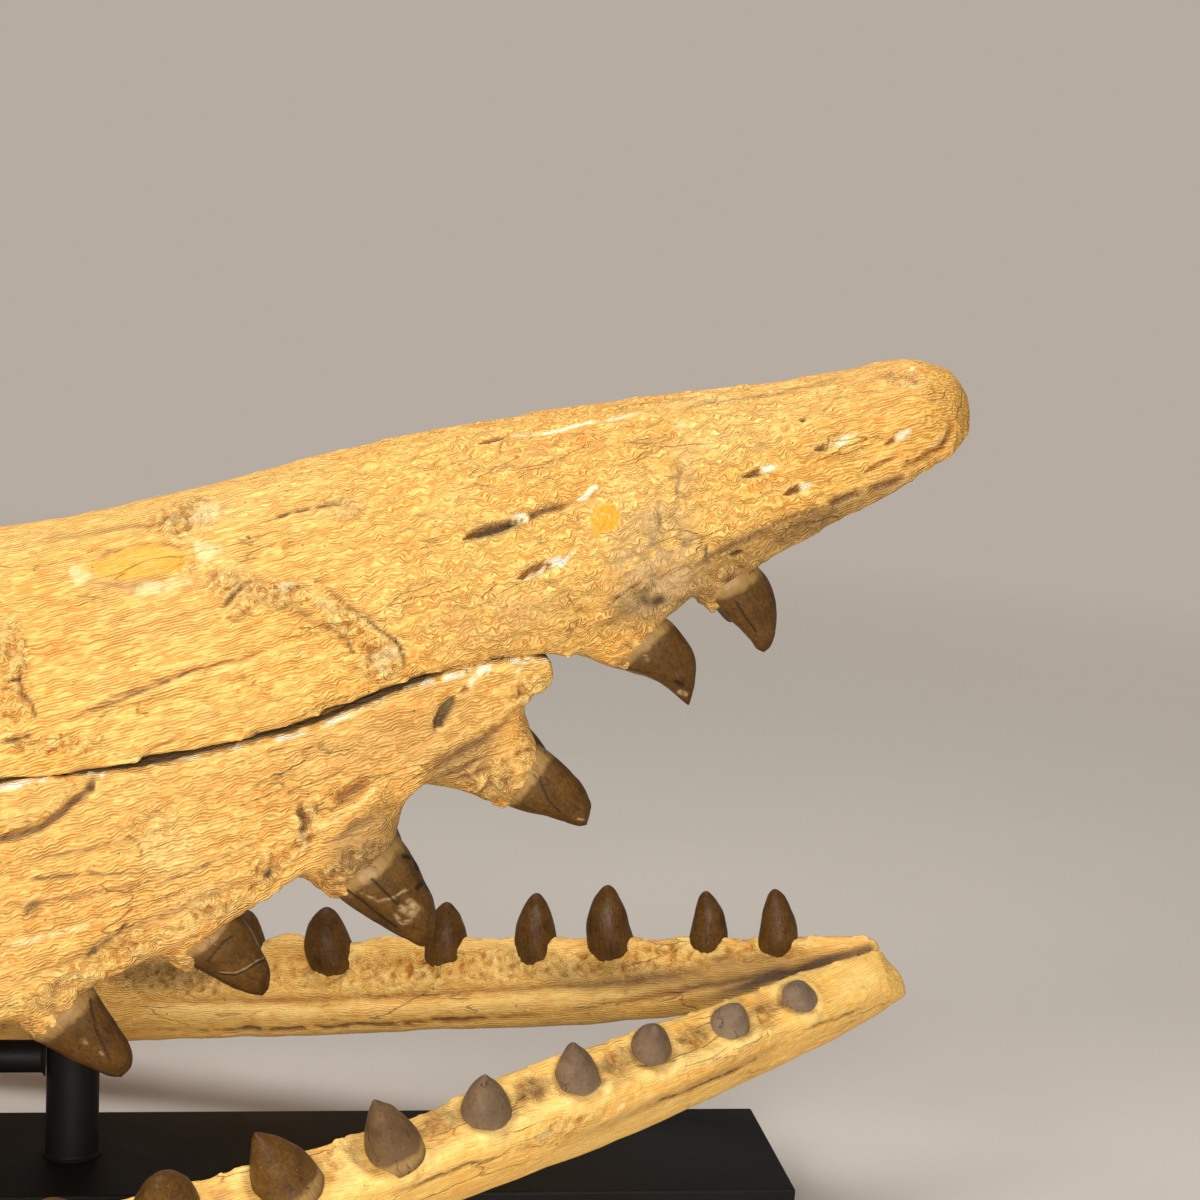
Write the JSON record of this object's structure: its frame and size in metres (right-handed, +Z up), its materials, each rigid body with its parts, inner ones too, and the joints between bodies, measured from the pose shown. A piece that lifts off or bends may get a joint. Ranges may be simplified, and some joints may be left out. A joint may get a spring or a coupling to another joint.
{
  "type": "fossil skull on stand",
  "caption": "Long tapering marine reptile skull with gaping toothed jaws, bowed lower jaws and a cracked cheek, held low above a flat rectangular base by short posts.",
  "frame": {"origin": "middle of the base plate's underside", "axes": "+X towards the snout, +Z up, the animal's right side towards -Y"},
  "size_m": [1.543, 0.6127, 0.5529],
  "materials": {
    "bone": "matt ochre fossil bone with pale plaster in the cracks",
    "enamel": "dark brown fossil tooth enamel, half gloss",
    "steel": "matt black paint"
  },
  "bodies": {
    "root": {"base_plate": "steel", "beam": "steel", "cranium": "bone", "cross_tube": "steel", "jaw_front_left": "bone", "jaw_front_right": "bone", "jaw_rear_left": "bone", "jaw_rear_right": "bone", "jugal_left": "bone", "jugal_right": "bone", "maxilla_right": "bone", "post_front": "steel", "post_rear": "steel", "pterygoid_left": "bone", "pterygoid_right": "bone", "quadrate_left": "bone", "quadrate_right": "bone", "tooth_lower_left_1": "enamel", "tooth_lower_left_10": "enamel", "tooth_lower_left_11": "enamel", "tooth_lower_left_2": "enamel", "tooth_lower_left_3": "enamel", "tooth_lower_left_4": "enamel", "tooth_lower_left_5": "enamel", "tooth_lower_left_6": "enamel", "tooth_lower_left_7": "enamel", "tooth_lower_left_8": "enamel", "tooth_lower_left_9": "enamel", "tooth_lower_right_1": "enamel", "tooth_lower_right_10": "enamel", "tooth_lower_right_11": "enamel", "tooth_lower_right_2": "enamel", "tooth_lower_right_3": "enamel", "tooth_lower_right_4": "enamel", "tooth_lower_right_5": "enamel", "tooth_lower_right_6": "enamel", "tooth_lower_right_7": "enamel", "tooth_lower_right_8": "enamel", "tooth_lower_right_9": "enamel", "tooth_upper_left_1": "enamel", "tooth_upper_left_2": "enamel", "tooth_upper_left_3": "enamel", "tooth_upper_left_4": "enamel", "tooth_upper_left_5": "enamel", "tooth_upper_left_6": "enamel", "tooth_upper_left_7": "enamel", "tooth_upper_left_8": "enamel", "tooth_upper_left_9": "enamel", "tooth_upper_right_1": "enamel", "tooth_upper_right_2": "enamel", "tooth_upper_right_3": "enamel", "tooth_upper_right_4": "enamel", "tooth_upper_right_5": "enamel", "tooth_upper_right_6": "enamel", "tooth_upper_right_7": "enamel", "tooth_upper_right_8": "enamel", "tooth_upper_right_9": "enamel"}
  },
  "joints": []
}
